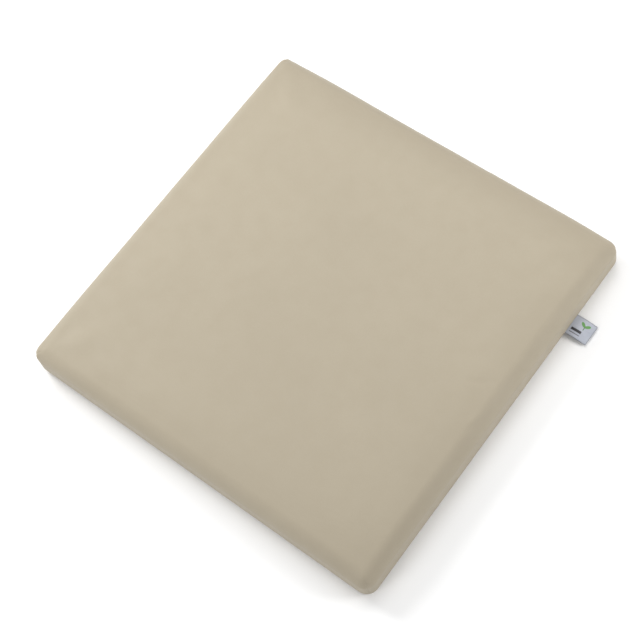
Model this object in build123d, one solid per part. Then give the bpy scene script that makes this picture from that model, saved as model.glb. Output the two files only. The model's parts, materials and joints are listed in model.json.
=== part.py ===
"""Square kneeling pad: two foam layers in a sewn cover that closes with a coil zip along its back wall.

The frame is in millimetres. +Z is up, -Y is the front and the origin is the middle of the underside, at floor level.
A fabric label stands out of the front seam. The zip closes towards +X.
"""

import os

from build123d import *

# Overall pad
pad_width = 400.0  # along X
pad_depth = 400.0  # along Y
pad_thickness = 40.0
corner_radius = 16.0  # upright corners, seen from above
top_edge_radius = 10.0
bottom_edge_radius = 5.0

# Cover
cover_thickness = 1.0
seam_height = 4.0  # where the top cover meets the bottom cover
thread_size = 0.5
thread_gap = 0.3  # from the cover's inner face to a seam thread

# Foam layers
foam_side_gap = 1.0  # room at the walls for the turned-in seam allowances
foam_top_gap = 0.2
base_foam_thickness = 24.0

# Zip opening in the back wall
zip_height = 15.5  # centre line of the zip above the floor
zip_gap = 11.0  # between the two folded cover edges
zip_opening = 366.0  # width of the opening in the back wall
end_tab_length = 6.0
topstitch_offset = 2.0  # from a folded edge to its stitch line
topstitch_size = 0.4

# Zip chain
chain_length = 350.0  # between the outer faces of the stops
tape_width = 9.5
tape_thickness = 0.6
tape_gap = 1.4  # between the two tapes, and between the two coils
coil_width = 2.3  # one side of the chain
coil_height = 2.0
stop_length = 3.0
stop_wall = 0.8
stop_overhang = 0.3  # how far a stop reaches past the coil's width

# Slider and pull tab
slider_length = 13.0
slider_plate = 1.3
slider_clearance = 0.35
slider_flange = 1.3
post_length = 4.0
post_width = 0.8
post_inset = 0.4
slider_end_play = 0.5  # from the slider to a stop at the end of its travel
pivot_radius = 0.6
pivot_clearance = 0.3
arch_bar = 1.0
arch_width = 1.4
arch_reach = 1.6  # from the pivot's centre to the inside of an arch leg
tab_thickness = 1.0
tab_length = 24.0
tab_width = 5.6
tab_arm_gap = 0.4  # from the arch to a tab arm
tab_root_gap = 0.8  # from the arch to the solid part of the tab
tab_hole_radius = 1.2
tab_hole_inset = 4.0

# Label
label_width = 22.0
label_length = 22.0
label_thickness = 0.6
label_centre = 116.0  # along X
label_clearance = 0.3
label_tuck = 8.0  # how far the sewn end runs up inside the wall

half_width = pad_width / 2
half_depth = pad_depth / 2
wall_inside = half_depth - cover_thickness  # inner face of the front and back walls
tape_back = wall_inside - tape_thickness
coil_front = wall_inside + coil_height
chain_half_height = tape_gap / 2 + coil_width
opening_bottom = zip_height - zip_gap / 2
opening_top = zip_height + zip_gap / 2


def block(x, y, z):
    """A box from three (low, high) pairs."""
    size = [high - low for low, high in (x, y, z)]
    middle = [(low + high) / 2 for low, high in (x, y, z)]
    return Pos(*middle) * Box(*size)


def cushion(width, depth, bottom, top, plan_radius, upper_radius, lower_radius):
    """A slab with rounded upright corners and rounded upper and lower edges."""
    plan = Pos(0, 0, bottom) * RectangleRounded(width, depth, plan_radius)
    slab = extrude(plan, top - bottom)
    if upper_radius:
        slab = fillet(slab.faces().sort_by(Axis.Z)[-1].edges(), upper_radius)
    if lower_radius:
        slab = fillet(slab.faces().sort_by(Axis.Z)[0].edges(), lower_radius)
    return slab


def cover_skin():
    """The whole sewn cover as one closed skin, before it is cut into its panels."""
    outside = cushion(
        pad_width, pad_depth, 0, pad_thickness, corner_radius, top_edge_radius, bottom_edge_radius
    )
    inside = cushion(
        pad_width - 2 * cover_thickness,
        pad_depth - 2 * cover_thickness,
        cover_thickness,
        pad_thickness - cover_thickness,
        corner_radius - cover_thickness,
        top_edge_radius - cover_thickness,
        bottom_edge_radius - cover_thickness,
    )
    return outside - inside


def everything_between(low, high):
    """A block as wide as the pad and more, from one height to another."""
    return block((-pad_width, pad_width), (-pad_depth, pad_depth), (low, high))


def back_wall_block(x_half, low, high):
    """A block through the back wall only."""
    return block((-x_half, x_half), (wall_inside, half_depth + 1), (low, high))


def make_covers():
    """Top cover with its walls, bottom cover, the strip below the zip and the tabs over the zip's ends."""
    skin = cover_skin()
    upper = skin & everything_between(seam_height, pad_thickness + 1)
    lower = skin & everything_between(-1, seam_height)
    opening = back_wall_block(zip_opening / 2, seam_height, opening_top)
    strip = upper & back_wall_block(zip_opening / 2, seam_height, opening_bottom)
    tab_middle = zip_opening / 2 - end_tab_length / 2
    tab = block(
        (-end_tab_length / 2, end_tab_length / 2),
        (wall_inside, half_depth),
        (opening_bottom, opening_top),
    )
    slot = label_slot()
    return {
        "top_cover": upper - opening - slot,
        "bottom_cover": lower - slot,
        "back_wall_strip": strip,
        "zip_end_tab_left": Pos(-tab_middle, 0, 0) * tab,
        "zip_end_tab_right": Pos(tab_middle, 0, 0) * tab,
    }


def foam_slab(bottom, top, upper_radius):
    """A foam layer that fills the cover from wall to wall, less the gap for the seam allowances."""
    inset = cover_thickness + foam_side_gap
    return cushion(
        pad_width - 2 * inset, pad_depth - 2 * inset, bottom, top, corner_radius - inset, upper_radius, 0
    )


def make_foam():
    """Firm base layer and soft top layer. The base is pressed in along the back where the slider runs."""
    bottom = cover_thickness
    middle = bottom + base_foam_thickness
    top = pad_thickness - cover_thickness - foam_top_gap
    inset = cover_thickness + foam_side_gap
    groove = block(
        (-chain_length / 2, chain_length / 2),
        (tape_back - 2 * slider_clearance - slider_plate, half_depth),
        (opening_bottom, opening_top),
    )
    # The lower edge stays clear of the cover's rounded bottom edge.
    base = foam_slab(bottom, middle, 0)
    base = fillet(base.faces().sort_by(Axis.Z)[0].edges(), bottom_edge_radius - cover_thickness)
    return {
        "base_foam": base - groove,
        "comfort_foam": foam_slab(middle, top, top_edge_radius - inset + foam_side_gap),
    }


def make_tape(side):
    """One zip tape. side is +1 above the zip's centre line and -1 below it."""
    edges = sorted((zip_height + side * tape_gap / 2, zip_height + side * (tape_gap / 2 + tape_width)))
    return block((-zip_opening / 2, zip_opening / 2), (tape_back, wall_inside), edges)


def make_coil(side):
    """One side of the closed chain, as the outer shape of its nylon coil."""
    ends = chain_length / 2 - stop_length
    edges = sorted((zip_height + side * tape_gap / 2, zip_height + side * chain_half_height))
    return block((-ends, ends), (wall_inside, coil_front), edges)


def clamp(low, high):
    """A metal clip pinched over the tapes from one height to another, at the origin in X."""
    x = (-stop_length / 2, stop_length / 2)
    return block(x, (tape_back - stop_wall, coil_front), (low, high))


def make_stops():
    """A clip on each tape at the closed end, and one across both tapes at the other end."""
    reach = chain_half_height + stop_overhang
    inner = tape_gap / 2 - stop_overhang
    middle = chain_length / 2 - stop_length / 2
    tapes = make_tape(+1) + make_tape(-1)
    return {
        "zip_top_stop_upper": Pos(middle, 0, 0) * clamp(zip_height + inner, zip_height + reach) - tapes,
        "zip_top_stop_lower": Pos(middle, 0, 0) * clamp(zip_height - reach, zip_height - inner) - tapes,
        "zip_bottom_stop": Pos(-middle, 0, 0) * clamp(zip_height - reach, zip_height + reach) - tapes,
    }


slider_rest = chain_length / 2 - stop_length - slider_end_play - slider_length / 2
slider_travel = 2 * slider_rest
plate_face = coil_front + slider_clearance + slider_plate  # outer face of the slider's front plate
pivot_y = plate_face + pivot_clearance + pivot_radius
arch_outer = arch_reach + arch_bar
tab_arm_inside = arch_width / 2 + tab_arm_gap


def make_slider():
    """Front and back plates joined by a post, side flanges round the coils, and an arch for the pull tab."""
    half_length = slider_length / 2
    inner_half = chain_half_height + slider_clearance
    outer_half = inner_half + slider_flange
    x = (-half_length, half_length)
    full = (zip_height - outer_half, zip_height + outer_half)
    front = block(x, (coil_front + slider_clearance, plate_face), full)
    back_face = tape_back - slider_clearance
    back = block(x, (back_face - slider_plate, back_face), full)
    corners = front.edges().filter_by(Axis.Y) + back.edges().filter_by(Axis.Y)
    front = fillet(front.edges().filter_by(Axis.Y), slider_flange)
    back = fillet(back.edges().filter_by(Axis.Y), slider_flange)
    flange_y = (wall_inside + slider_clearance, coil_front + slider_clearance)
    flange_x = (-half_length + slider_flange, half_length - slider_flange)
    upper = block(flange_x, flange_y, (zip_height + inner_half, zip_height + outer_half))
    lower = block(flange_x, flange_y, (zip_height - outer_half, zip_height - inner_half))
    post = block(
        (half_length - post_inset - post_length, half_length - post_inset),
        (back_face, coil_front + slider_clearance),
        (zip_height - post_width / 2, zip_height + post_width / 2),
    )
    arch_top = pivot_y + pivot_radius + pivot_clearance + arch_bar
    arch_z = (zip_height - arch_width / 2, zip_height + arch_width / 2)
    arch = block((-arch_outer, arch_outer), (plate_face, arch_top), arch_z)
    eye = block((-arch_reach, arch_reach), (plate_face, arch_top - arch_bar), arch_z)
    body = front + back + upper + lower + post + (arch - eye)
    return Pos(slider_rest, 0, 0) * body


def make_pull_tab():
    """A flat tab on a round cross-bar that turns under the slider's arch. It lies over the closed chain."""
    bar_half = tab_width / 2
    bar = Pos(0, pivot_y, zip_height) * Cylinder(pivot_radius, 2 * bar_half)
    root = arch_outer + tab_root_gap
    y = (pivot_y - tab_thickness / 2, pivot_y + tab_thickness / 2)
    arm_upper = block((-root, 0), y, (zip_height + tab_arm_inside, zip_height + bar_half))
    arm_lower = block((-root, 0), y, (zip_height - bar_half, zip_height - tab_arm_inside))
    blade = block((-tab_length, -root), y, (zip_height - bar_half, zip_height + bar_half))
    tip = blade.edges().filter_by(Axis.Y).group_by(Axis.X)[0]
    blade = fillet(tip, bar_half - tab_thickness / 2)
    hole = Pos(-tab_length + tab_hole_inset, pivot_y, zip_height) * Rot(90, 0, 0)
    blade -= hole * Cylinder(tab_hole_radius, 2 * tab_thickness)
    return Pos(slider_rest, 0, 0) * (bar + arm_upper + arm_lower + blade)


label_pivot_y = -half_depth - label_clearance - label_thickness / 2
label_x = (label_centre - label_width / 2, label_centre + label_width / 2)
label_z = (seam_height - label_thickness / 2, seam_height + label_thickness / 2)


def label_slot():
    """The room that the sewn end of the label takes in the front seam."""
    back = -wall_inside + thread_gap + label_thickness
    return block(label_x, (-half_depth - 1, back), label_z)


def make_seam_threads():
    """The thread round the bottom seam, and one thread up each corner, all just inside the cover."""
    inset = cover_thickness + thread_gap
    outer = RectangleRounded(pad_width - 2 * inset, pad_depth - 2 * inset, corner_radius - inset)
    inset += thread_size
    inner = RectangleRounded(pad_width - 2 * inset, pad_depth - 2 * inset, corner_radius - inset)
    bottom = seam_height - thread_size / 2
    ring = extrude(Pos(0, 0, bottom) * (outer - inner), thread_size)
    gap_centre = corner_radius - cover_thickness - thread_gap - thread_size / 2
    along = gap_centre / 2**0.5 - corner_radius  # from an upright corner's sharp point, along X and Y
    low = seam_height + thread_size
    high = pad_thickness - top_edge_radius
    threads = {"bottom_seam_thread": ring}
    for end, sy in (("front", -1), ("back", +1)):
        for side, sx in (("left", -1), ("right", +1)):
            place = Pos(sx * (half_width + along), sy * (half_depth + along), (low + high) / 2)
            thread = place * Rot(0, 0, 45) * Box(thread_size, thread_size, high - low)
            threads[f"corner_seam_thread_{end}_{side}"] = thread
    return threads


def make_label(threads):
    """The label in two pieces at the line where it bends: the sewn end and the loose flap."""
    run_in = block(label_x, (-half_depth, -wall_inside + thread_gap), label_z)
    back = -wall_inside + thread_gap
    upright = block(label_x, (back, back + label_thickness), (label_z[0], seam_height + label_tuck))
    sewn_end = run_in + upright - threads["bottom_seam_thread"]
    reach = label_length - label_clearance - label_thickness
    flap = block(label_x, (label_pivot_y - reach, label_pivot_y), label_z)
    rod = Rot(0, 90, 0) * Cylinder(label_thickness / 2, label_width)
    root = Pos(label_centre, label_pivot_y, seam_height) * rod
    fold = Pos(label_centre, label_pivot_y - reach, seam_height) * rod
    return {"label_sewn_end": sewn_end, "label_flap": flap + root + fold}


def make_topstitch(side):
    """The line of stitches beside one folded edge of the zip opening."""
    height = zip_height + side * (zip_gap / 2 + topstitch_offset)
    return block(
        (-zip_opening / 2, zip_opening / 2),
        (half_depth, half_depth + topstitch_size),
        (height - topstitch_size / 2, height + topstitch_size / 2),
    )


def make_nodes():
    """Every sub-part of the pad by name."""
    threads = make_seam_threads()
    nodes = {**make_covers(), **make_foam(), **threads, **make_label(threads), **make_stops()}
    for word, side in (("upper", +1), ("lower", -1)):
        nodes[f"zip_tape_{word}"] = make_tape(side)
        nodes[f"zip_coil_{word}"] = make_coil(side)
        nodes[f"zip_topstitch_{word}"] = make_topstitch(side)
    nodes["zip_slider"] = make_slider()
    nodes["zip_pull_tab"] = make_pull_tab()
    return nodes


os.makedirs("parts", exist_ok=True)
for name, shape in make_nodes().items():
    export_step(shape, f"parts/{name}.step")
print(f"slider rest x {slider_rest:.2f}, travel {slider_travel:.2f}, pivot y {pivot_y:.2f}")
print(f"label pivot y {label_pivot_y:.2f}, z {seam_height:.2f}")
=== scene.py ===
"""The looks of the kneeling pad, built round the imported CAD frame. Lengths are in metres, +Z is up."""

import json
import math

import bpy
import numpy as np
from mathutils import Matrix, Vector, kdtree, noise


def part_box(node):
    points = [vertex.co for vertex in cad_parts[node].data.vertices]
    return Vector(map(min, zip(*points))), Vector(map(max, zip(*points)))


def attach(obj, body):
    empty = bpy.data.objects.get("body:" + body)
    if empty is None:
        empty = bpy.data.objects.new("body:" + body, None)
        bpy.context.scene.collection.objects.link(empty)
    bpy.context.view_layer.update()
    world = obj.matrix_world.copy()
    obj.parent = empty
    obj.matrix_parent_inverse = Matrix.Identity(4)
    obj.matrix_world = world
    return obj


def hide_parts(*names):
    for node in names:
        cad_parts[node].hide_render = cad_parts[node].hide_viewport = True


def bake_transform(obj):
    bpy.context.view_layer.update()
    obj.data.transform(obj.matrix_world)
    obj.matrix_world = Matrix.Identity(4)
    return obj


MM = 0.001

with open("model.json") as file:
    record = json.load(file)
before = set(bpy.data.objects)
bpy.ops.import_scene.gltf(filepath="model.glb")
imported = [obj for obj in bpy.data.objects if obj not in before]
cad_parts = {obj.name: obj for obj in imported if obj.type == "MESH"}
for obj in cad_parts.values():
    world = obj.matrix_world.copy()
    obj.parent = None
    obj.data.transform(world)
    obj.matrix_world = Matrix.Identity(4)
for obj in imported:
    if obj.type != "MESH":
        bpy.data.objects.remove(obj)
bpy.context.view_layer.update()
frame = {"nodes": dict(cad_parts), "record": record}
scene = bpy.context.scene

# Sizes taken from the frame
cover_low, cover_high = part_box("top_cover")
strip_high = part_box("back_wall_strip")[1]
tab_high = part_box("zip_end_tab_right")[1]
base_low, base_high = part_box("base_foam")
soft_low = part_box("comfort_foam")[0]
tape_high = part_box("zip_tape_upper")[1]
flap_low, flap_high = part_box("label_flap")
sewn_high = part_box("label_sewn_end")[1]
half = cover_high.x
thickness = cover_high.z
seam_z = cover_low.z
opening_x = strip_high.x
opening_low = strip_high.z
opening_high = tab_high.z
zip_z = (opening_low + opening_high) / 2
wall_inside = tape_high.y
fabric = half - wall_inside

# Sizes that only the looks have
CORNER = 12 * MM
CORNER_DROP = 4.5 * MM  # how much lower the top is at its corners, where the foam is squeezed
SLUMP_RIGHT = 3.2 * MM  # and along the middles of its two sides
SLUMP_LEFT = 1.4 * MM
SLUMP_WIDTH = 50 * MM
TOP_EDGE = 14 * MM
BOTTOM_EDGE = 5 * MM
SWELL_UP = 4.2 * MM  # how far the filled top rises above its edges
SWELL_OUT = 0.7 * MM
RIM_Z = thickness - SWELL_UP + 0.6 * MM  # the top's height before it is filled
STITCH_OFFSET = 2 * MM
CLOTH_STEP = 6 * MM
CLOTH_FRAMES = 20
SMOOTHING = 14  # rounds that even out the simulated cloth, because foam holds the real one smooth
CORNER_REACH = 34 * MM  # how far from a corner its drop fades out
HELD_FLAT = 0.85  # how much of the cover's swelling and creases the zip takes out of its wall
BACK_WALL = 3 * MM  # how far in from the outline a point still counts as on the back wall


# ---------------------------------------------------------------- meshes


def make_object(name, verts, faces, smooth=True):
    """A mesh object from lists of points and faces."""
    mesh = bpy.data.meshes.new(name)
    mesh.from_pydata([tuple(v) for v in verts], [], [tuple(int(i) for i in f) for f in faces])
    mesh.validate()
    mesh.polygons.foreach_set("use_smooth", [smooth] * len(mesh.polygons))
    obj = bpy.data.objects.new(name, mesh)
    scene.collection.objects.link(obj)
    return obj


def coordinates(obj):
    """The object's vertex positions as an array."""
    flat = np.empty(len(obj.data.vertices) * 3)
    obj.data.vertices.foreach_get("co", flat)
    return flat.reshape(-1, 3)


def move_to(obj, points):
    """Put the object's vertices at these positions."""
    obj.data.vertices.foreach_set("co", np.asarray(points).ravel())
    obj.data.update()


def vertex_normals(obj):
    """The object's vertex normals as an array."""
    flat = np.empty(len(obj.data.vertices) * 3)
    obj.data.vertices.foreach_get("normal", flat)
    return flat.reshape(-1, 3)


def bake_modifiers(obj):
    """Turn what the modifiers make into the object's own mesh."""
    evaluated = obj.evaluated_get(bpy.context.evaluated_depsgraph_get())
    mesh = bpy.data.meshes.new_from_object(evaluated)
    obj.modifiers.clear()
    obj.data = mesh


def thicken(obj, amount):
    """Give a single sheet of fabric its thickness, inwards from the outer face."""
    shell = obj.modifiers.new("thickness", "SOLIDIFY")
    shell.thickness = amount
    shell.offset = -1
    bake_modifiers(obj)


class Slab:
    """A pad-shaped slab: loops round the sides, joined to a square grid across the bottom and the top.

    Each station is a loop, given as how far it is inside the pad's outline and how high it is.
    """

    def __init__(self, marks, stations, half_size, corner):
        self.stations = np.array(stations)
        self.full = half_size - corner + corner * math.pi / 4
        steps = np.concatenate([-self.full + marks, (self.full - marks)[-2::-1]])
        self.steps = steps
        self.count = len(steps) - 1
        self.half_size = half_size
        self.corner = corner
        self.loops = np.array([self.loop(inset, height) for inset, height in self.stations])

    def side(self, inset):
        """Points along the front side of one loop, from one corner's middle to the next corner's middle."""
        size = self.half_size - inset
        radius = max(self.corner - inset, 0.0)
        flat = size - radius
        along = self.steps * (flat + radius * math.pi / 4) / self.full
        angle = np.maximum(np.abs(along) - flat, 0) / max(radius, 1e-9)
        x = np.sign(along) * (np.minimum(np.abs(along), flat) + radius * np.sin(angle))
        y = -flat - radius * np.cos(angle)
        return np.stack([x, y], 1)

    def loop(self, inset, height):
        """One loop round the pad, anticlockwise from the middle of the front left corner."""
        front = self.side(inset)[:-1]
        parts = []
        for c, s in ((1, 0), (0, 1), (-1, 0), (0, -1)):
            x = c * front[:, 0] - s * front[:, 1]
            y = s * front[:, 0] + c * front[:, 1]
            parts.append(np.stack([x, y], 1))
        points = np.concatenate(parts)
        return np.concatenate([points, np.full((len(points), 1), height)], 1)

    def build(self, name, keep=None, bottom=True, top=True):
        """The mesh. keep(side, x, z) says which wall quads to make: 0 is the front, 2 the back."""
        n, total = self.count, 4 * self.count
        verts = [self.loops.reshape(-1, 3)]
        faces = []
        for s in range(len(self.stations) - 1):
            z = (self.loops[s, :, 2] + self.loops[s + 1, :, 2]) / 2
            for i in range(total):
                j = (i + 1) % total
                x = (self.loops[s, i, 0] + self.loops[s, j, 0]) / 2
                if keep is None or keep(i // n, x, z[i]):
                    low, high = s * total, (s + 1) * total
                    faces.append((low + i, low + j, high + j, high + i))
        offset = len(self.stations) * total
        for station, wanted, up in ((0, bottom, False), (len(self.stations) - 1, top, True)):
            if not wanted:
                continue
            line = self.side(self.stations[station][0])[:, 0]
            first = station * total
            inner = [(x, y, self.stations[station][1]) for y in line[1:-1] for x in line[1:-1]]
            verts.append(np.array(inner))

            def index(row, col):
                """The vertex at this row and column of the grid. Its rim is the loop's own vertices."""
                if row == 0:
                    return first + col
                if col == n:
                    return first + n + row
                if row == n:
                    return first + 2 * n + (n - col)
                if col == 0:
                    return first + (3 * n + (n - row)) % total
                return offset + (row - 1) * (n - 1) + col - 1

            for row in range(n):
                for col in range(n):
                    around = ((row, col), (row, col + 1), (row + 1, col + 1), (row + 1, col))
                    quad = tuple(index(r, c) for r, c in around)
                    faces.append(quad if up else quad[::-1])
            offset += len(inner)
        used = sorted({int(i) for f in faces for i in f})
        renumber = {old: new for new, old in enumerate(used)}
        all_verts = np.concatenate(verts)[used]
        return make_object(name, all_verts, [[renumber[int(i)] for i in f] for f in faces])


def spaced(first, last, step):
    """Evenly spaced values from first to last, about one step apart."""
    return np.linspace(first, last, max(2, int(round((last - first) / step)) + 1))


def corner_marks(step, corner, half_size, fine):
    """Distances from a corner's middle to a side's middle, closer together round the corner seam."""
    arc = corner * math.pi / 4
    full = half_size - corner + arc
    near = np.array([0, arc / 2])
    if fine:
        near = np.array([0, 0.4, 0.8, 1.3, 2, 3, 4.5, 6.5, 8.5, 10.5]) * MM
    near = near[near < arc - 0.5 * MM]
    edge = arc + half_size - corner - opening_x
    return np.concatenate([near, [arc], spaced(edge, full, step)])


# ---------------------------------------------------------------- how the cover fills out


def smoothed(values, edges, rounds):
    """The values after each vertex has been averaged with its neighbours this many times."""
    neighbours = np.bincount(edges.ravel(), minlength=len(values))[:, None]
    for _ in range(rounds):
        total = np.zeros_like(values)
        np.add.at(total, edges[:, 0], values[edges[:, 1]])
        np.add.at(total, edges[:, 1], values[edges[:, 0]])
        values = (values + total / neighbours) / 2
    return values


def swelling():
    """How a cloth cover moves when its filling pushes it out, as a function of places on the pad."""
    arc = np.radians(np.linspace(0, 90, 4))
    stations = [(20 * MM, 0), (13 * MM, 0), (8 * MM, 0)]
    stations += [(BOTTOM_EDGE * (1 - math.sin(a)), BOTTOM_EDGE * (1 - math.cos(a))) for a in arc[1:]]
    stations += [(0, z) for z in spaced(BOTTOM_EDGE, RIM_Z - TOP_EDGE, CLOTH_STEP)[1:]]
    for a in arc[1:]:
        stations.append((TOP_EDGE * (1 - math.cos(a)), RIM_Z - TOP_EDGE * (1 - math.sin(a))))
    stations += [(TOP_EDGE + d, RIM_Z) for d in spaced(CLOTH_STEP, 30 * MM, CLOTH_STEP)]
    slab = Slab(corner_marks(CLOTH_STEP, CORNER, half, False), stations, half, CORNER)
    cloth = slab.build("cloth")
    rest = coordinates(cloth)
    pins = cloth.vertex_groups.new(name="held")
    pins.add([int(i) for i in np.nonzero(rest[:, 2] < seam_z + 0.5 * MM)[0]], 1.0, "REPLACE")
    sim = cloth.modifiers.new("cloth", "CLOTH")
    settings = sim.settings
    settings.quality = 6
    settings.mass = 0.25
    settings.tension_stiffness = 30
    settings.compression_stiffness = 30
    settings.shear_stiffness = 12
    settings.bending_stiffness = 4
    settings.air_damping = 3
    settings.use_pressure = True
    settings.uniform_pressure_force = 4
    settings.effector_weights.gravity = 0
    settings.vertex_group_mass = "held"
    sim.collision_settings.use_collision = False
    sim.point_cache.frame_end = CLOTH_FRAMES
    for number in range(1, CLOTH_FRAMES + 1):
        scene.frame_set(number)
    bake_modifiers(cloth)
    scene.frame_set(1)
    moved = coordinates(cloth) - rest
    edges = np.array([edge.vertices[:] for edge in cloth.data.edges])
    bpy.data.objects.remove(cloth)
    outward = np.hypot(moved[:, 0], moved[:, 1])
    limited_out = SWELL_OUT * (1 - np.exp(-outward / SWELL_OUT)) / np.maximum(outward, 1e-9)
    limited_up = SWELL_UP * (1 - np.exp(-np.maximum(moved[:, 2], 0) / SWELL_UP))
    limited = np.stack([moved[:, 0] * limited_out, moved[:, 1] * limited_out, limited_up], 1)
    limited = smoothed(limited, edges, SMOOTHING)
    # The seam holds the cloth, and the wall above it is free to move more and more
    limited *= np.clip((rest[:, 2] - seam_z) / (8 * MM), 0, 1)[:, None]
    tree = kdtree.KDTree(len(rest))
    for i, p in enumerate(rest):
        tree.insert(p, i)
    tree.balance()
    return tree, limited


cloth_tree, cloth_moves = swelling()


def filled(points):
    """The same points after the filling has pushed the cover out, with the corners squeezed lower."""
    points = np.array(points)
    from_corner = np.hypot(half - np.abs(points[:, 0]), half - np.abs(points[:, 1]))
    drop = CORNER_DROP * np.exp(-((from_corner / CORNER_REACH) ** 2))
    for sign, slump in ((1, SLUMP_RIGHT), (-1, SLUMP_LEFT)):
        inside = np.clip((half - sign * points[:, 0]) / SLUMP_WIDTH, 0, 1)
        drop += slump * (1 - inside**2 * (3 - 2 * inside)) * (1 - 0.7 * (points[:, 1] / half) ** 2)
    points[:, 2] -= drop * np.clip((points[:, 2] - seam_z) / (RIM_Z - seam_z), 0, 1)
    if cloth_tree is None:
        inset = half - np.maximum(np.abs(points[:, 0]), np.abs(points[:, 1]))
        share = np.clip(points[:, 2] / thickness, 0, 1) ** 3
        points[:, 2] += SWELL_UP * 0.95 * share * (1 - np.exp(-np.maximum(inset, 0) / (22 * MM)))
        return points
    rest = points.copy()
    for k, p in enumerate(rest):
        near = cloth_tree.find_n(Vector(p), 20)
        weights = np.array([math.exp(-((d / (5 * MM)) ** 2)) + 1e-6 for _, _, d in near])
        moves = cloth_moves[[i for _, i, _ in near]]
        points[k] += (moves * weights[:, None]).sum(0) / weights.sum()
    return points


# ---------------------------------------------------------------- the cover's own detail


def bump(value, centre, width):
    """1 at the centre, fading smoothly to 0 on both sides."""
    return np.exp(-(((value - centre) / width) ** 2))


def crease(points, start, end, width, depth):
    """A soft fold in the cloth along a line seen from above: a valley with a low ridge on each side."""
    start, end = np.array(start), np.array(end)
    length = np.linalg.norm(end - start)
    along = (end - start) / length
    rel = points[:, :2] - start
    t = rel @ along / length
    off = rel @ np.array([-along[1], along[0]]) + 1.6 * MM * np.sin(t * 4)
    fade = np.clip(1 - (2 * t - 1) ** 2, 0, 1) ** 1.5
    return fade * (-depth * bump(off, 0, width) + 0.55 * depth * bump(np.abs(off), 2.1 * width, width))


CREASES = [
    # start, end, width and depth, all in millimetres
    ((4, -156), (17, -186), 2.4, 0.4),
    ((-38, -186), (-8, -198), 2.6, 0.4),
    ((-52, -196), (-24, -206), 2.2, 0.3),
    ((186, -60), (203, -44), 2.8, 0.25),
    ((-112, 186), (-98, 202), 3.0, 0.25),
]


def wavy(points, size, seed):
    """Smooth noise at these points, about -1 to 1, with features of this size."""
    shift = Vector((seed * 7.3, seed * 3.1, seed * 5.7))
    return np.array([noise.noise(Vector(p) / size + shift) for p in points])


def corner_distance(points):
    """Distance round the outline from the nearest corner seam."""
    x, y = np.abs(points[:, 0]), np.abs(points[:, 1])
    flat = half - CORNER
    in_corner = (x > flat) & (y > flat)
    angle = np.arctan2(np.maximum(x - flat, 0), np.maximum(y - flat, 1e-9))
    arc = CORNER * np.abs(angle - math.pi / 4)
    straight = CORNER * math.pi / 4 + flat - np.minimum(x, y)
    return np.where(in_corner, arc, straight)


def sewn_detail(points):
    """How far each place on the cover stands out, from its seams, stitches, creases and slack."""
    x, y, z = points.T
    inset = half - np.maximum(np.abs(x), np.abs(y))
    wall = np.clip(1 - inset / (9 * MM), 0, 1)
    out = np.zeros(len(points))
    # The bottom seam's groove, and the puckers above it
    out -= 0.95 * MM * bump(z, seam_z, 0.75 * MM) * (inset < 4 * MM)
    pucker = wavy(points, 7 * MM, 1)
    out += 0.16 * MM * pucker * bump(z, seam_z + 3 * MM, 3.5 * MM) * wall
    # The corner seams: a groove with a soft ridge on each side
    away = corner_distance(points)
    rising = np.clip((z - seam_z) / (2 * MM), 0, 1) * np.clip((37.5 * MM - z) / (5 * MM), 0, 1)
    out -= 0.55 * MM * bump(away, 0, 0.75 * MM) * rising * wall
    out += 0.22 * MM * bump(away, 2.8 * MM, 1.8 * MM) * rising * wall
    # The stitch lines and the folded edges round the zip's opening
    at_back = y > half - BACK_WALL
    back = at_back & (np.abs(x) < opening_x)
    for line in (opening_low - STITCH_OFFSET, opening_high + STITCH_OFFSET):
        out -= 0.3 * MM * bump(z, line, 0.8 * MM) * back
        out += 0.07 * MM * wavy(points, 4 * MM, 2) * bump(z, line, 2 * MM) * back
    for edge in (opening_low, opening_high):
        out -= 0.35 * MM * bump(z, edge, 0.7 * MM) * back
    sides = at_back & (z < opening_high) & (z > seam_z)
    out -= 0.35 * MM * bump(np.abs(x), opening_x, 0.9 * MM) * sides
    # Slack and creases, from the middle of the walls upwards
    upper = np.clip((z - 6 * MM) / (10 * MM), 0, 1)
    out += 0.16 * MM * wavy(points, 70 * MM, 3) * upper
    out += 0.03 * MM * wavy(points, 21 * MM, 4) * upper
    quiet = 1 - HELD_FLAT * (at_back & (z < 32 * MM))
    for start, end, width, depth in CREASES:
        fold = crease(points, np.array(start) * MM, np.array(end) * MM, width * MM, depth * MM)
        out += quiet * upper * fold
    return out


def wall_inset(z):
    """How far inside the outline the unfilled wall is at this height, where its edges are rounded."""
    below, above = max(BOTTOM_EDGE - z, 0), max(z - (RIM_Z - TOP_EDGE), 0)
    low = BOTTOM_EDGE - math.sqrt(BOTTOM_EDGE**2 - below**2)
    return low + TOP_EDGE - math.sqrt(TOP_EDGE**2 - above**2)


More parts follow.
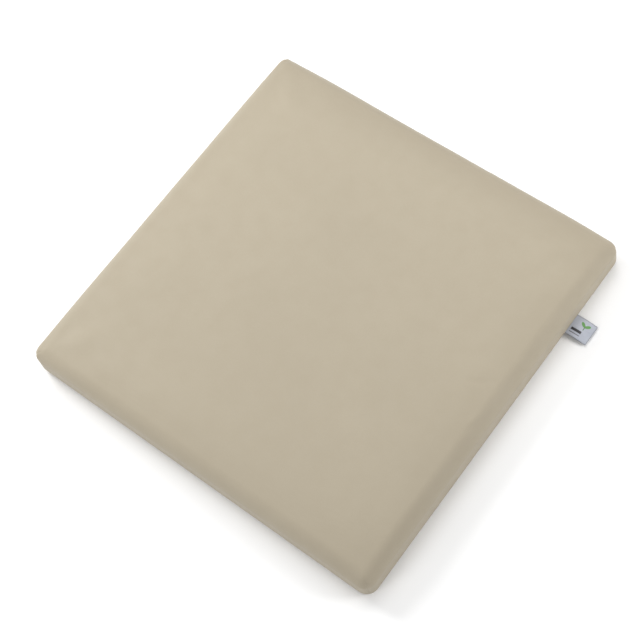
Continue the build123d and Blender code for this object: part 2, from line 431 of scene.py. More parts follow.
def cover_stations(upper):
    """The cover's loops from the underside to the top, with extra ones at the seams and stitch lines."""
    low_arc = [math.degrees(math.acos(1 - z / BOTTOM_EDGE * MM)) for z in (2.9, 3.3, 3.6, 3.8, 4.0)]
    under = [(d * MM, 0) for d in (20, 16, 12.5, 9.5, 7)]
    under += [(BOTTOM_EDGE, 0)]
    for a in [15, 30, 45] + low_arc:
        a = math.radians(a)
        under.append((BOTTOM_EDGE * (1 - math.sin(a)), BOTTOM_EDGE * (1 - math.cos(a))))
    if not upper:
        return under
    walls = [seam_z + d * MM for d in (0, 0.2, 0.45, 0.8, 1.3, 1.9, 2.6)]
    walls += [opening_low - d * MM for d in (2.8, 2.4, 2.0, 1.6, 1.2, 0.9, 0.5, 0.25, 0)]
    walls += [opening_low + d * MM for d in (1, 2.5, 4.5, 6.5, 8.5, 10)]
    walls += [opening_high + d * MM for d in (0, 0.25, 0.6, 1.1, 1.5, 2.0, 2.5, 3.1, 4.2, 5.6)]
    stations = [(wall_inset(z), z) for z in walls]
    begin = math.degrees(math.asin((walls[-1] - RIM_Z + TOP_EDGE) / TOP_EDGE))
    for a in np.radians(np.linspace(begin, 90, 11)[1:]):
        stations.append((TOP_EDGE * (1 - math.cos(a)), RIM_Z - TOP_EDGE * (1 - math.sin(a))))
    stations += [(TOP_EDGE + d * MM, RIM_Z) for d in (1.5, 3, 4.5, 6.5, 8.5, 11, 14, 17, 20, 23, 26, 30)]
    return stations


def in_opening(side, x, z):
    """Whether a bit of wall is in the zip's opening. Side 2 is the back."""
    return side == 2 and abs(x) < opening_x and opening_low < z < opening_high


def in_strip(side, x, z):
    """Whether a bit of wall is in the strip between the zip and the bottom seam."""
    return side == 2 and abs(x) < opening_x and seam_z < z < opening_low


def settled(points):
    """The same points on the filled cover. The zip holds the back wall flat, up to below the rim."""
    rest = np.array(points)
    at_back = np.clip((rest[:, 1] - half + 9 * MM) / (4 * MM), 0, 1)
    below = np.clip((35 * MM - rest[:, 2]) / (8 * MM), 0, 1)
    return rest + (filled(rest) - rest) * (1 - HELD_FLAT * at_back * below)[:, None]


def dress(obj):
    """Fill out a piece of cover, press in its seams and stitches, and give it the fabric's thickness."""
    rest = coordinates(obj)
    moved = settled(rest)
    move_to(obj, moved)
    normals = vertex_normals(obj)
    move_to(obj, moved + normals * sewn_detail(rest)[:, None])
    thicken(obj, 0.9 * fabric)
    return obj


fine_marks = corner_marks(3 * MM, CORNER, half, True)
upper_slab = Slab(fine_marks, cover_stations(True), half, CORNER)
lower_slab = Slab(fine_marks, cover_stations(False), half, CORNER)

top_cover = dress(
    upper_slab.build(
        "cover_top", keep=lambda *at: not in_opening(*at) and not in_strip(*at), bottom=False
    )
)
strip = dress(upper_slab.build("cover_back_strip", keep=in_strip, bottom=False, top=False))
bottom_cover = dress(lower_slab.build("cover_bottom", top=False))


def zip_tab(sign):
    """The folded bit of cover fabric sewn over one end of the zip."""
    across, up = 9, 13
    x0, x1 = sorted((sign * (opening_x - 6 * MM), sign * (opening_x + 0.4 * MM)))
    z0, z1 = opening_low - 0.2 * MM, opening_high + 0.2 * MM
    verts, faces = [], []
    for r in range(up):
        for c in range(across):
            u, v = c / (across - 1), r / (up - 1)
            edge = 1 - u if sign < 0 else u
            fold = 0.5 * MM * math.exp(-((edge / 0.12) ** 2))
            dip = 0.25 * MM * math.exp(-(((edge - 0.36) / 0.09) ** 2))
            y = half - 0.15 * MM - fold - dip - 0.15 * MM * (2 * v - 1) ** 2
            verts.append((x0 + (x1 - x0) * u, y, z0 + (z1 - z0) * v))
    for r in range(up - 1):
        for c in range(across - 1):
            i = r * across + c
            faces.append((i, i + across, i + across + 1, i + 1))
    obj = make_object("zip_tab_right" if sign > 0 else "zip_tab_left", verts, faces)
    smooth = obj.modifiers.new("smooth", "SUBSURF")
    smooth.levels = smooth.render_levels = 1
    bake_modifiers(obj)
    thicken(obj, 0.6 * fabric)
    return obj


tab_left, tab_right = zip_tab(-1), zip_tab(+1)


# ---------------------------------------------------------------- foam


def foam_stations(low, high, top_radius, bottom_radius, inset):
    """A foam layer's loops, with its edges slightly rounded."""
    bends = np.radians(np.linspace(0, 90, 5))
    stations = [(inset + 22 * MM, low), (inset + 12 * MM, low)]
    stations += [
        (inset + bottom_radius * (1 - math.sin(a)), low + bottom_radius * (1 - math.cos(a))) for a in bends
    ]
    stations += [(inset, z) for z in spaced(low + bottom_radius, high - top_radius, 3 * MM)[1:-1]]
    stations += [
        (inset + top_radius * (1 - math.cos(a)), high - top_radius * (1 - math.sin(a))) for a in bends
    ]
    stations += [(inset + top_radius + d * MM, high) for d in (4, 8, 14, 22)]
    return stations


def foam_piece(name, low, high, top_radius, bottom_radius, groove):
    """A foam layer, higher or lower wherever the cover above it is. groove makes the zip's relief."""
    inset = half - base_high.x
    marks = corner_marks(6 * MM, CORNER, half, False)
    slab = Slab(marks, foam_stations(low, high, top_radius, bottom_radius, inset), half, CORNER)
    obj = slab.build(name)
    rest = coordinates(obj)
    moved = rest.copy()
    above = rest.copy()
    above[:, 2] = RIM_Z
    rise = filled(above)[:, 2] - RIM_Z
    moved[:, 2] += rise * np.clip((rest[:, 2] - seam_z) / (RIM_Z - seam_z), 0, 1)
    if groove:
        back = (rest[:, 1] > half - 4 * MM) & (np.abs(rest[:, 0]) < 176 * MM)
        moved[:, 1] -= 1.8 * MM * back * (np.abs(rest[:, 2] - zip_z) < 6.5 * MM)
    move_to(obj, moved + vertex_normals(obj) * (0.05 * MM * wavy(rest, 3 * MM, 6))[:, None])
    return obj


foam_top = RIM_Z - 1.4 * MM
base_foam = foam_piece(
    "foam_base",
    base_low.z + 0.1 * MM,
    base_high.z - 0.05 * MM,
    top_radius=0.6 * MM,
    bottom_radius=4 * MM,
    groove=True,
)
soft_foam = foam_piece(
    "foam_comfort",
    soft_low.z + 0.05 * MM,
    foam_top,
    top_radius=12.5 * MM,
    bottom_radius=0.6 * MM,
    groove=False,
)


# ---------------------------------------------------------------- stitches


def stitch_row(name, path, outward, pitch, gap, radius, arch):
    """Separate stitches along a path. Each is a short thread that rises out of the cloth and dips back."""
    path, outward = np.array(path), np.array(outward)
    lengths = np.concatenate([[0], np.cumsum(np.linalg.norm(np.diff(path, axis=0), axis=1))])
    rings, sides = 6, 7
    verts, faces = [], []
    for k in range(int(lengths[-1] / pitch)):
        begin = k * pitch + gap / 2
        base = len(verts)
        for r in range(rings):
            t = r / (rings - 1)
            s = begin + t * (pitch - gap)
            here = np.array([np.interp(s, lengths, path[:, i]) for i in range(3)])
            ahead = np.array([np.interp(s + 0.2 * MM, lengths, path[:, i]) for i in range(3)])
            out = np.array([np.interp(s, lengths, outward[:, i]) for i in range(3)])
            out /= np.linalg.norm(out)
            along = (ahead - here) / max(np.linalg.norm(ahead - here), 1e-9)
            if np.linalg.norm(ahead - here) < 1e-7:
                along = (here - path[-2]) / np.linalg.norm(here - path[-2])
            across = np.cross(along, out)
            rise = arch * math.sin(math.pi * t) ** 0.6 - 0.35 * arch
            size = radius * (0.62 + 0.38 * math.sin(math.pi * t) ** 0.5)
            for q in range(sides):
                a = 2 * math.pi * q / sides + 0.5 * r
                lift = rise + size * 0.85 * math.cos(a)
                verts.append(here + out * lift + across * size * math.sin(a))
        for r in range(rings - 1):
            for q in range(sides):
                a, b = base + r * sides + q, base + r * sides + (q + 1) % sides
                faces.append((a, b, b + sides, a + sides))
        faces.append([base + q for q in range(sides)][::-1])
        faces.append([base + (rings - 1) * sides + q for q in range(sides)])
    return make_object(name, verts, faces)


topstitches = []
for word, z in (("lower", opening_low - STITCH_OFFSET), ("upper", opening_high + STITCH_OFFSET)):
    y = half - 0.22 * MM - wall_inset(z)
    line = settled([(x, y, z) for x in spaced(-opening_x + 1 * MM, opening_x - 1 * MM, 10 * MM)])
    row = stitch_row(
        f"topstitch_{word}",
        line,
        [(0, 1, 0)] * len(line),
        pitch=3.3 * MM,
        gap=0.5 * MM,
        radius=0.27 * MM,
        arch=0.2 * MM,
    )
    topstitches.append(row)

thread_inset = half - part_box("bottom_seam_thread")[1].x + 0.25 * MM
thread_loop = upper_slab.loop(thread_inset, seam_z)
thread_loop = np.concatenate([thread_loop, thread_loop[:1]])
thread_out = thread_loop * np.array([1, 1, 0])
bottom_thread = stitch_row(
    "seam_thread_bottom",
    thread_loop,
    thread_out,
    pitch=3.2 * MM,
    gap=0.4 * MM,
    radius=0.18 * MM,
    arch=0.1 * MM,
)
corner_threads = {}
for end, sy in (("front", -1), ("back", +1)):
    for side, sx in (("left", -1), ("right", +1)):
        low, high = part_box(f"corner_seam_thread_{end}_{side}")
        path = []
        for z in spaced(low.z, high.z - 4 * MM, 3 * MM):
            reach = half - CORNER + (CORNER - wall_inset(z) - fabric - 0.3 * MM) * math.sqrt(0.5)
            path.append((sx * reach, sy * reach, z))
        corner_threads[f"corner_seam_thread_{end}_{side}"] = stitch_row(
            f"seam_thread_{end}_{side}",
            filled(path),
            [(sx, sy, 0)] * len(path),
            pitch=3.1 * MM,
            gap=0.4 * MM,
            radius=0.18 * MM,
            arch=0.08 * MM,
        )


# ---------------------------------------------------------------- zip


def zip_tape(name, node, selvedge):
    """One woven tape: ribbed along its length, with a thick selvedge beside the coil."""
    low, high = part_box(node)
    verts, faces = [], []
    columns = spaced(low.x, high.x, 4 * MM)
    profile = []  # each height, with how far the tape's faces lie inside the CAD tape's there
    for v in np.linspace(0, 1, 15):
        edge = 1 - v if selvedge == "high" else v
        swell = 0.5 * math.exp(-(((edge - 0.07) / 0.07) ** 2)) + 0.12 * math.cos(edge * 34)
        profile.append((low.z + (high.z - low.z) * v, (0.1125 - 0.0875 * swell) * MM))
    loop = [(high.y - inside, z) for z, inside in profile]
    loop += [(low.y + inside, z) for z, inside in profile[::-1]]
    count = len(loop)
    for x in columns:
        verts += [(x, y - wall_inset(z), z) for y, z in loop]
    for c in range(len(columns) - 1):
        near, far = c * count, (c + 1) * count
        for i in range(count):
            j = (i + 1) % count
            faces.append((near + i, near + j, far + j, far + i))
    faces.append(list(range(count))[::-1])
    faces.append([(len(columns) - 1) * count + i for i in range(count)])
    obj = make_object(name, settled(verts), faces)
    if selvedge == "high":
        obj.data.flip_normals()
    return obj


def zip_coil(name, node, sign, phase):
    """A wound nylon coil: one bent wire, flattened on the tape side, its heads towards the other coil."""
    low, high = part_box(node)
    pitch, wire = 1.45 * MM, 0.33 * MM  # the wire's size is its radius
    per_turn, around = 12, 6
    overlap = 0.02 * MM  # how far the heads reach past the zip's centre line
    lean = 0.16 * MM
    head_growth = 0.14  # the wire is thicker at its heads by this share
    head = zip_z - sign * overlap
    foot = (high.z if sign > 0 else low.z) - sign * overlap
    centre = (head + foot) / 2
    reach = abs(foot - head) / 2 - wire
    y_mid, y_reach = (low.y + high.y) / 2, (high.y - low.y) / 2 - wire
    turns = int((high.x - low.x - 2 * wire) / pitch) - 1
    start = low.x + wire + phase * pitch
    theta = np.linspace(0, 2 * math.pi * turns, turns * per_turn + 1)
    bulge = np.abs(np.sin(theta)) ** 0.7 * np.sign(np.sin(theta))
    path = np.stack(
        [
            start + pitch * theta / (2 * math.pi) + lean * np.sin(2 * theta),
            y_mid + y_reach * bulge,
            centre - sign * reach * np.cos(theta),
        ],
        1,
    )
    ahead = np.gradient(path, axis=0)
    ahead /= np.linalg.norm(ahead, axis=1)[:, None]
    side = np.cross(ahead, np.array([1.0, 0, 0]))
    side /= np.linalg.norm(side, axis=1)[:, None]
    other = np.cross(ahead, side)
    angles = 2 * math.pi * np.arange(around) / around
    thick = wire * (1 + head_growth * np.clip(np.cos(theta), 0, 1) ** 4)
    verts = (
        path[:, None, :]
        + thick[:, None, None] * np.cos(angles)[None, :, None] * side[:, None, :]
        + thick[:, None, None] * np.sin(angles)[None, :, None] * other[:, None, :]
    ).reshape(-1, 3)
    faces = []
    for r in range(len(path) - 1):
        for q in range(around):
            a, b = r * around + q, r * around + (q + 1) % around
            faces.append((a, b, b + around, a + around))
    faces.append(list(range(around))[::-1])
    faces.append([(len(path) - 1) * around + q for q in range(around)])
    return make_object(name, verts, faces)


tape_upper = zip_tape("tape_upper", "zip_tape_upper", "low")
tape_lower = zip_tape("tape_lower", "zip_tape_lower", "high")
coil_upper = zip_coil("coil_upper", "zip_coil_upper", +1, 0.0)
coil_lower = zip_coil("coil_lower", "zip_coil_lower", -1, 0.5)


# ---------------------------------------------------------------- label


def ribbon():
    """The label: one ribbon, folded at its loose end, with both ends sewn into the seam."""
    layer = 0.17 * MM
    spread = 0.13 * MM  # from the middle of the fold to each layer
    bend = 0.7 * MM  # the turn inside the wall
    tip_gap = 0.35 * MM  # room for the fold inside the CAD label's end
    arch, droop = 0.55 * MM, 1.9 * MM  # how the loose end rises from the seam and then hangs
    ripple, tilt = 0.35 * MM, 0.5 * MM  # and how it waves and leans across its width
    root_y, tip_y, z = -half, flap_low.y + tip_gap, seam_z
    inside = sewn_high.y - 0.25 * MM
    up = sewn_high.z
    middle = []
    for t in np.linspace(0, 1, 6):
        middle.append((inside, up - t * (up - z - bend)))
    for y in (-half + bend, -half + 0.2 * MM, -half - 0.4 * MM):
        middle.append((y, z))
    sewn = len(middle)
    for t in np.linspace(0.06, 1, 24):
        lift = arch * math.sin(math.pi * min(t * 1.1, 1)) ** 2 - droop * t**1.6
        middle.append((root_y + t * (tip_y - root_y), z + lift))
    middle = np.array(middle)
    away = np.gradient(middle, axis=0)
    away /= np.linalg.norm(away, axis=1)[:, None]
    normal = np.stack([away[:, 1], -away[:, 0]], 1)
    # The two layers lie apart where the ribbon is loose
    puff = np.ones(len(middle))
    puff[sewn:] += 0.9 * np.sin(np.linspace(0, math.pi, len(middle) - sewn)) ** 2
    outer = middle + normal * (spread * puff)[:, None]
    inner = middle - normal * (spread * puff)[:, None]
    tip = middle[-1]
    turn = [
        tip + away[-1] * spread * math.sin(a) + normal[-1] * spread * math.cos(a)
        for a in np.radians((30, 60, 90, 120, 150))
    ]
    path = np.concatenate([outer, turn, inner[::-1]])
    lengths = np.concatenate([[0], np.cumsum(np.linalg.norm(np.diff(path, axis=0), axis=1))])
    x0, x1 = flap_low.x, flap_high.x
    across = 23
    verts, faces, uvs = [], [], []
    for (y, z), s in zip(path, lengths):
        for c in range(across):
            u = c / (across - 1)
            loose = min(1.0, max(0.0, (-y - half) / (14 * MM)))
            sway = ripple * loose * math.sin(2.4 * u + 0.4) - tilt * loose * (u - 0.5)
            verts.append((x0 + (x1 - x0) * u, y, z + sway))
            uvs.append((u, s / lengths[-1]))
    for r in range(len(path) - 1):
        for c in range(across - 1):
            i = r * across + c
            faces.append((i, i + 1, i + across + 1, i + across))
    obj = make_object("label_ribbon", verts, faces)
    layer_uv = obj.data.uv_layers.new(name="ribbon")
    for loop in obj.data.loops:
        layer_uv.data[loop.index].uv = uvs[loop.vertex_index]
    shell = obj.modifiers.new("thickness", "SOLIDIFY")
    shell.thickness = layer
    shell.offset = 0
    bake_modifiers(obj)
    return obj, lengths[-1]


label, label_run = ribbon()


# ---------------------------------------------------------------- materials

WAVE_PERIOD = 0.31416  # a wave texture's period at scale 1


class Paint:
    """A material and the nodes that make it. Values may be numbers, colours or other nodes' outputs."""

    def __init__(self, name):
        self.material = bpy.data.materials.new(name)
        self.material.use_nodes = True
        self.tree = self.material.node_tree
        self.shader = self.tree.nodes["Principled BSDF"]

    def set(self, socket, value):
        """Link another node's output to a socket, or give the socket a number or a colour."""
        if isinstance(value, bpy.types.NodeSocket):
            self.tree.links.new(value, socket)
        elif isinstance(value, (tuple, list)) and len(value) == 3 and socket.type == "RGBA":
            socket.default_value = (*value, 1)
        else:
            socket.default_value = value

    def node(self, kind, inputs=(), output=0, **fields):
        """Add a node and return one of its outputs."""
        made = self.tree.nodes.new(kind)
        for key, value in fields.items():
            setattr(made, key, value)
        for key, value in dict(inputs).items():
            self.set(made.inputs[key], value)
        return made.outputs[output]

    def maths(self, operation, a, b=0.0, c=0.0):
        """A sum or another operation on up to three values."""
        return self.node("ShaderNodeMath", {0: a, 1: b, 2: c}, operation=operation)

    def place(self, scale=(1, 1, 1)):
        """Where a point is on the object, stretched along each axis."""
        where = self.node("ShaderNodeTexCoord", output="Object")
        return self.node("ShaderNodeMapping", {"Vector": where, "Scale": scale}, vector_type="POINT")

    def clouds(self, scale, detail=3.0, vector=None):
        """Soft noise. A larger scale is finer."""
        inputs = {"Vector": vector or self.place(), "Scale": scale, "Detail": detail}
        return self.node("ShaderNodeTexNoise", inputs, output="Fac")

    def ramp(self, value, low, high, out_low=0.0, out_high=1.0):
        """A value spread from one range to another and held at its ends."""
        return self.node(
            "ShaderNodeMapRange",
            {"Value": value, "From Min": low, "From Max": high, "To Min": out_low, "To Max": out_high},
        )

    def mix(self, share, a, b):
        """Colour a with this share of colour b."""
        made = self.tree.nodes.new("ShaderNodeMix")
        made.data_type = "RGBA"
        self.set(made.inputs[0], share)
        self.set(made.inputs[6], a)
        self.set(made.inputs[7], b)
        return made.outputs[2]

    def waves(self, pitch, axis):
        """Ridges one pitch apart along an axis of the object."""
        made = self.tree.nodes.new("ShaderNodeTexWave")
        made.bands_direction = axis
        made.wave_profile = "SIN"
        self.set(made.inputs["Vector"], self.place())
        self.set(made.inputs["Scale"], WAVE_PERIOD / pitch)
        self.set(made.inputs["Distortion"], 0.0)
        return made.outputs["Fac"]

    def bumps(self, *layers):
        """Layered relief. Each layer is (height, distance in metres)."""
        normal = None
        for height, distance in layers:
            made = self.tree.nodes.new("ShaderNodeBump")
            made.inputs["Strength"].default_value = 1.0
            made.inputs["Distance"].default_value = distance
            self.set(made.inputs["Height"], height)
            if normal is not None:
                self.set(made.inputs["Normal"], normal)
            normal = made.outputs["Normal"]
        self.set(self.shader.inputs["Normal"], normal)

    def finish(self, **values):
        """Set the shader's own sockets and return the material."""
        for key, value in values.items():
            self.set(self.shader.inputs[key.replace("_", " ")], value)
        return self.material


def woven_height(paint, pitch):
    """A plain weave seen on any face: ridges in three directions, crossed."""
    along_x = paint.waves(pitch, "X")
    along_y = paint.waves(pitch, "Y")
    along_z = paint.waves(pitch, "Z")
    return paint.maths("ADD", paint.maths("ADD", along_x, along_y), along_z)


def cover_paint():
    """Smooth matt beige cloth with a faint weave and slack."""
    p = Paint("cover_fabric")
    broad = p.clouds(9, 2)
    soft = p.clouds(55, 4)
    grain = p.clouds(900, 2)
    fibres = p.clouds(2600, 2)
    colour = p.mix(p.ramp(broad, 0.35, 0.65), (0.371, 0.324, 0.243), (0.382, 0.334, 0.251))
    colour = p.mix(p.ramp(soft, 0.4, 0.7, 0, 0.25), colour, (0.357, 0.310, 0.231))
    colour = p.mix(p.ramp(grain, 0.35, 0.65, 0, 0.10), colour, (0.33, 0.28, 0.205))
    colour = p.mix(p.ramp(fibres, 0.55, 0.75, 0, 0.12), colour, (0.53, 0.48, 0.39))
    # Painted shade: a darker tone towards the rim, and most along the right side, varied a little by the
    # broad noise
    where = p.tree.nodes.new("ShaderNodeSeparateXYZ")
    p.set(where.inputs[0], p.node("ShaderNodeTexCoord", output="Object"))
    x, y = where.outputs[0], where.outputs[1]
    outer = p.maths("MAXIMUM", p.maths("ABSOLUTE", x), p.maths("ABSOLUTE", y))
    rim = p.ramp(outer, half - 34 * MM, half - 4 * MM, 0, 0.26)
    right = p.ramp(x, half - 52 * MM, half - 8 * MM, 0, 0.30)
    painted_edge_shade = p.maths("MULTIPLY", p.maths("ADD", rim, right), p.ramp(broad, 0.3, 0.7, 0.8, 1.1))
    colour = p.mix(painted_edge_shade, colour, (0.315, 0.270, 0.198))
    p.bumps(
        (p.clouds(160, 3), 0.05 * MM),
        (woven_height(p, 0.62 * MM), 0.016 * MM),
        (grain, 0.02 * MM),
    )
    rough = p.ramp(soft, 0.3, 0.7, 0.60, 0.72)
    return p.finish(
        Base_Color=colour, Roughness=rough, Sheen_Weight=0.12, Sheen_Roughness=0.5, Specular_IOR_Level=0.32
    )


def foam_paint(name, colour, dark, cell):
    """Cut open-cell foam with pores of this size."""
    p = Paint(name)
    cells = p.node("ShaderNodeTexVoronoi", {"Vector": p.place(), "Scale": 1 / cell}, output="Distance")
    pores = p.ramp(cells, 0.05, 0.55)
    # Painted shade: the pores are darker than the struts between them, where the bump below makes them low
    shade = p.mix(pores, dark, colour)
    shade = p.mix(p.ramp(p.clouds(25, 3), 0.35, 0.7, 0, 0.25), shade, dark)
    p.bumps((pores, 0.35 * cell), (p.clouds(700, 2), 0.05 * MM))
    return p.finish(Base_Color=shade, Roughness=0.92, Specular_IOR_Level=0.2)


def thread_paint():
    """Twisted polyester thread."""
    p = Paint("sewing_thread")
    twist = p.waves(0.32 * MM, "DIAGONAL")
    # Painted shade: the grooves of the twist are darker than its ridges, following the bump below
    colour = p.mix(twist, (0.42, 0.36, 0.27), (0.60, 0.53, 0.41))
    colour = p.mix(p.ramp(p.clouds(500, 2), 0.4, 0.7, 0, 0.3), colour, (0.68, 0.61, 0.49))
    p.bumps((twist, 0.06 * MM))
    return p.finish(Base_Color=colour, Roughness=0.55, Sheen_Weight=0.2)


def tape_paint():
    """Woven tape, ribbed across and along."""
    p = Paint("zip_tape")
    ribs = p.waves(0.55 * MM, "X")
    wales = p.waves(0.9 * MM, "Z")
    weave = p.maths("MULTIPLY", ribs, wales)
    # Painted shade: the weave is darker where its ribs and wales sink, following the bump below
    colour = p.mix(weave, (0.40, 0.345, 0.26), (0.55, 0.485, 0.375))
    colour = p.mix(p.ramp(p.clouds(60, 3), 0.4, 0.7, 0, 0.25), colour, (0.47, 0.41, 0.31))
    p.bumps((weave, 0.07 * MM), (p.clouds(2500, 2), 0.02 * MM))
    return p.finish(Base_Color=colour, Roughness=0.8, Sheen_Weight=0.25)


def nylon_paint():
    """Satin nylon wire."""
    p = Paint("zip_nylon")
    colour = p.mix(p.ramp(p.clouds(180, 3), 0.35, 0.7), (0.50, 0.435, 0.33), (0.58, 0.51, 0.39))
    p.bumps((p.clouds(1500, 2), 0.015 * MM))
    return p.finish(Base_Color=colour, Roughness=p.ramp(p.clouds(400, 2), 0.3, 0.7, 0.30, 0.42))


def metal_paint():
    """Painted metal with a few worn spots."""
    p = Paint("zip_metal")
    scuff = p.clouds(420, 6)
    worn = p.ramp(scuff, 0.62, 0.70)
    colour = p.mix(p.ramp(p.clouds(90, 2), 0.4, 0.7), (0.47, 0.405, 0.305), (0.52, 0.455, 0.345))
    colour = p.mix(worn, colour, (0.62, 0.60, 0.57))
    p.bumps((p.clouds(900, 3), 0.02 * MM))
    return p.finish(
        Base_Color=colour,
        Roughness=p.ramp(scuff, 0.3, 0.7, 0.28, 0.46),
        Metallic=p.maths("MULTIPLY", worn, 0.85),
        Coat_Weight=0.25,
        Coat_Roughness=0.25,
    )


def label_paint():
    """Silver-grey satin with woven edges, a plain bar and a simple two-leaf sprout."""
    p = Paint("label_satin")
    uv = p.node("ShaderNodeUVMap", uv_map="ribbon")
    split = p.tree.nodes.new("ShaderNodeSeparateXYZ")
    p.set(split.inputs[0], uv)
    width = (flap_high.x - flap_low.x) / MM
    x = p.maths("MULTIPLY", p.maths("SUBTRACT", split.outputs[0], 0.5), width)
    run = p.maths("MULTIPLY", split.outputs[1], label_run / MM)
    # Distance out from the seam on the face that shows from above, in millimetres
    y = p.maths("SUBTRACT", run, label_root_run() / MM)

    def soft_inside(value, edge=0.08):
        """1 where the value is below 0, with a soft edge."""
        return p.node(
            "ShaderNodeMapRange",
            {"Value": value, "From Min": edge, "From Max": -edge},
            interpolation_type="SMOOTHSTEP",
        )

    def ellipse(cx, cy, long, short, turn):
        """1 inside an ellipse turned by this many degrees."""
        c, s = math.cos(math.radians(turn)), math.sin(math.radians(turn))
        dx, dy = p.maths("SUBTRACT", x, cx), p.maths("SUBTRACT", y, cy)
        a = p.maths("ADD", p.maths("MULTIPLY", dx, c / long), p.maths("MULTIPLY", dy, s / long))
        b = p.maths("ADD", p.maths("MULTIPLY", dx, -s / short), p.maths("MULTIPLY", dy, c / short))
        size = p.maths("SQRT", p.maths("ADD", p.maths("MULTIPLY", a, a), p.maths("MULTIPLY", b, b)))
        return soft_inside(p.maths("SUBTRACT", size, 1.0), 0.06)

    def bar(cx, cy, half_x, half_y):
        """1 inside a rectangle."""
        dx = p.maths("SUBTRACT", p.maths("ABSOLUTE", p.maths("SUBTRACT", x, cx)), half_x)
        dy = p.maths("SUBTRACT", p.maths("ABSOLUTE", p.maths("SUBTRACT", y, cy)), half_y)
        return soft_inside(p.maths("MAXIMUM", dx, dy))

    yarn = p.waves(0.26 * MM, "X")
    picks = p.waves(0.34 * MM, "Y")
    sheen = p.clouds(120, 3, p.place((1, 0.25, 1)))
    satin = p.mix(p.ramp(sheen, 0.3, 0.7), (0.37, 0.395, 0.46), (0.47, 0.495, 0.56))
    weave = p.maths("MULTIPLY", yarn, picks)
    # Painted highlight: the weave is lighter where its yarns rise, following the bump below
    satin = p.mix(p.maths("MULTIPLY", weave, 0.35), satin, (0.62, 0.64, 0.70))
    tip_edge = p.maths("ABSOLUTE", p.maths("SUBTRACT", y, (-half - flap_low.y) / MM))
    edge = p.maths(
        "MAXIMUM",
        soft_inside(p.maths("SUBTRACT", width / 2 - 0.9, p.maths("ABSOLUTE", x))),
        soft_inside(p.maths("SUBTRACT", tip_edge, 0.9)),
    )
    satin = p.mix(p.maths("MULTIPLY", edge, 0.6), satin, (0.22, 0.225, 0.25))
    # The mark, in millimetres from the ribbon's middle line and from the seam
    leaves = p.maths("MAXIMUM", ellipse(5.0, 9.7, 3.0, 1.45, -52), ellipse(5.0, 14.3, 3.0, 1.45, 52))
    colour = p.mix(leaves, satin, (0.11, 0.30, 0.07))
    colour = p.mix(bar(2.2, 12.0, 2.4, 0.38), colour, (0.07, 0.18, 0.05))
    colour = p.mix(bar(-3.4, 6.9, 1.35, 5.3), colour, (0.02, 0.02, 0.025))
    colour = p.mix(bar(-7.0, 6.9, 0.45, 5.3), colour, (0.12, 0.12, 0.135))
    p.bumps((weave, 0.03 * MM), (edge, 0.08 * MM))
    return p.finish(
        Base_Color=colour, Roughness=0.38, Anisotropic=0.5, Sheen_Weight=0.15, Specular_IOR_Level=0.55
    )


def label_root_run():
    """How much of the ribbon lies inside the seam, past the folded tip and back."""
    return label_run / 2 - (-half - flap_low.y)


paints = {
    "cover_fabric": cover_paint(),
    "firm_foam": foam_paint("firm_foam", (0.58, 0.58, 0.56), (0.34, 0.34, 0.33), 0.9 * MM),
    "soft_foam": foam_paint("soft_foam", (0.82, 0.78, 0.65), (0.52, 0.48, 0.37), 1.3 * MM),
    "sewing_thread": thread_paint(),
    "zip_tape": tape_paint(),
    "zip_nylon": nylon_paint(),
    "zip_metal": metal_paint(),
    "label_satin": label_paint(),
}


def finish_piece(obj, body, slot, *nodes):
    """Paint a piece, put it on its body and hide the CAD solids it stands for."""
    obj.data.materials.clear()
    obj.data.materials.append(paints[slot])
    if body:
        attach(obj, body)
    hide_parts(*nodes)


finish_piece(top_cover, "pad", "cover_fabric", "top_cover")
finish_piece(strip, "pad", "cover_fabric", "back_wall_strip")
finish_piece(bottom_cover, "pad", "cover_fabric", "bottom_cover")
finish_piece(tab_left, "pad", "cover_fabric", "zip_end_tab_left")
finish_piece(tab_right, "pad", "cover_fabric", "zip_end_tab_right")
finish_piece(base_foam, "pad", "firm_foam", "base_foam")
finish_piece(soft_foam, "pad", "soft_foam", "comfort_foam")
finish_piece(topstitches[0], "pad", "sewing_thread", "zip_topstitch_lower")
finish_piece(topstitches[1], "pad", "sewing_thread", "zip_topstitch_upper")
finish_piece(bottom_thread, "pad", "sewing_thread", "bottom_seam_thread")
for node, obj in corner_threads.items():
    finish_piece(obj, "pad", "sewing_thread", node)
finish_piece(tape_upper, "pad", "zip_tape", "zip_tape_upper")
finish_piece(tape_lower, "pad", "zip_tape", "zip_tape_lower")
finish_piece(coil_upper, "pad", "zip_nylon", "zip_coil_upper")
finish_piece(coil_lower, "pad", "zip_nylon", "zip_coil_lower")
finish_piece(label, None, "label_satin", "label_flap", "label_sewn_end")
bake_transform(label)

for name, node in frame["nodes"].items():
    slots = [s["material_slot"] for s in frame["record"]["subparts"] if s["node"] == name]
    node.data.materials.clear()
    node.data.materials.append(paints[slots[0]])


# ---------------------------------------------------------------- studio

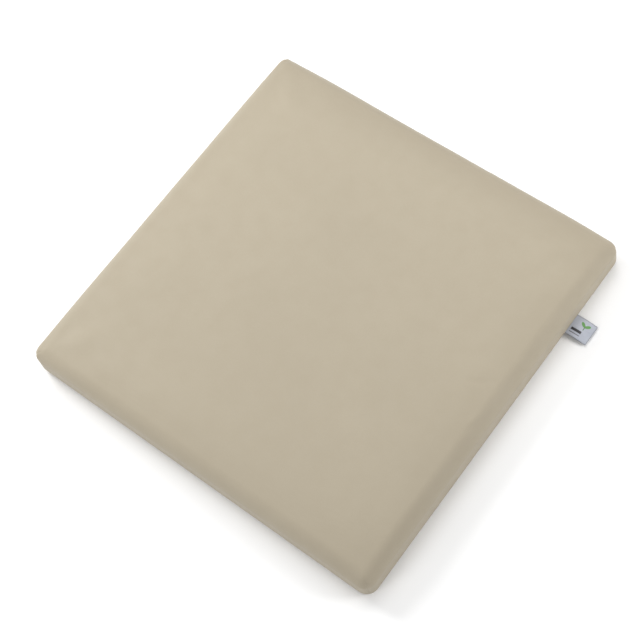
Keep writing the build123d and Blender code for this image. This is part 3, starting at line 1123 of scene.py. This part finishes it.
floor = make_object("floor", [(-6, -6, 0), (6, -6, 0), (6, 6, 0), (-6, 6, 0)], [(0, 1, 2, 3)])
paper = Paint("studio_paper")
paper.finish(Base_Color=(0.93, 0.93, 0.93), Roughness=0.9, Specular_IOR_Level=0.1)
floor.data.materials.append(paper.material)


def area_light(name, place, size, watts):
    """A round white light that points at the middle of the floor."""
    light = bpy.data.lights.new(name, "AREA")
    light.shape = "DISK"
    light.size = size
    light.energy = watts
    obj = bpy.data.objects.new(name, light)
    scene.collection.objects.link(obj)
    aim = -Vector(place)
    obj.rotation_euler = aim.to_track_quat("-Z", "Y").to_euler()
    obj.location = place
    return obj


area_light("key", (0, 1.2, 0.9), 0.6, 14.8)
area_light("front_fill", (0.5, -0.9, 0.45), 0.5, 4.6)
area_light("left_fill", (-1.1, 0.1, 0.45), 0.5, 3.1)
area_light("top_fill", (0.5, 0.1, 0.8), 0.5, 2.5)

world = bpy.data.worlds.new("studio")
world.use_nodes = True
sky = world.node_tree.nodes["Background"].inputs
sky["Color"].default_value = (1, 1, 1, 1)
sky["Strength"].default_value = 0.56
scene.world = world
scene.view_settings.view_transform = "Standard"


def look_from(azimuth, elevation, distance, target, roll):
    """The camera's place and turn. Azimuth is from the front towards +X."""
    az, el, turn = (math.radians(a) for a in (azimuth, elevation, roll))
    back = Vector((math.sin(az) * math.cos(el), -math.cos(az) * math.cos(el), math.sin(el)))
    right = Vector((0, 0, 1)).cross(back).normalized()
    up = back.cross(right)
    x = right * math.cos(turn) + up * math.sin(turn)
    y = up * math.cos(turn) - right * math.sin(turn)
    pose = Matrix((x, y, back)).transposed().to_4x4()
    pose.translation = Vector(target) + back * distance
    return pose


lens = bpy.data.cameras.new("camera")
lens.lens = 85.0
lens.sensor_width = 36
lens.shift_x = -0.03
lens.shift_y = -0.008
lens.clip_start = 0.01
camera = bpy.data.objects.new("camera", lens)
scene.collection.objects.link(camera)
camera.matrix_world = look_from(
    azimuth=-37.27, elevation=64.13, distance=1.4156, target=(-0.0012, -0.0194, 0.02), roll=-17.48
)
scene.camera = camera
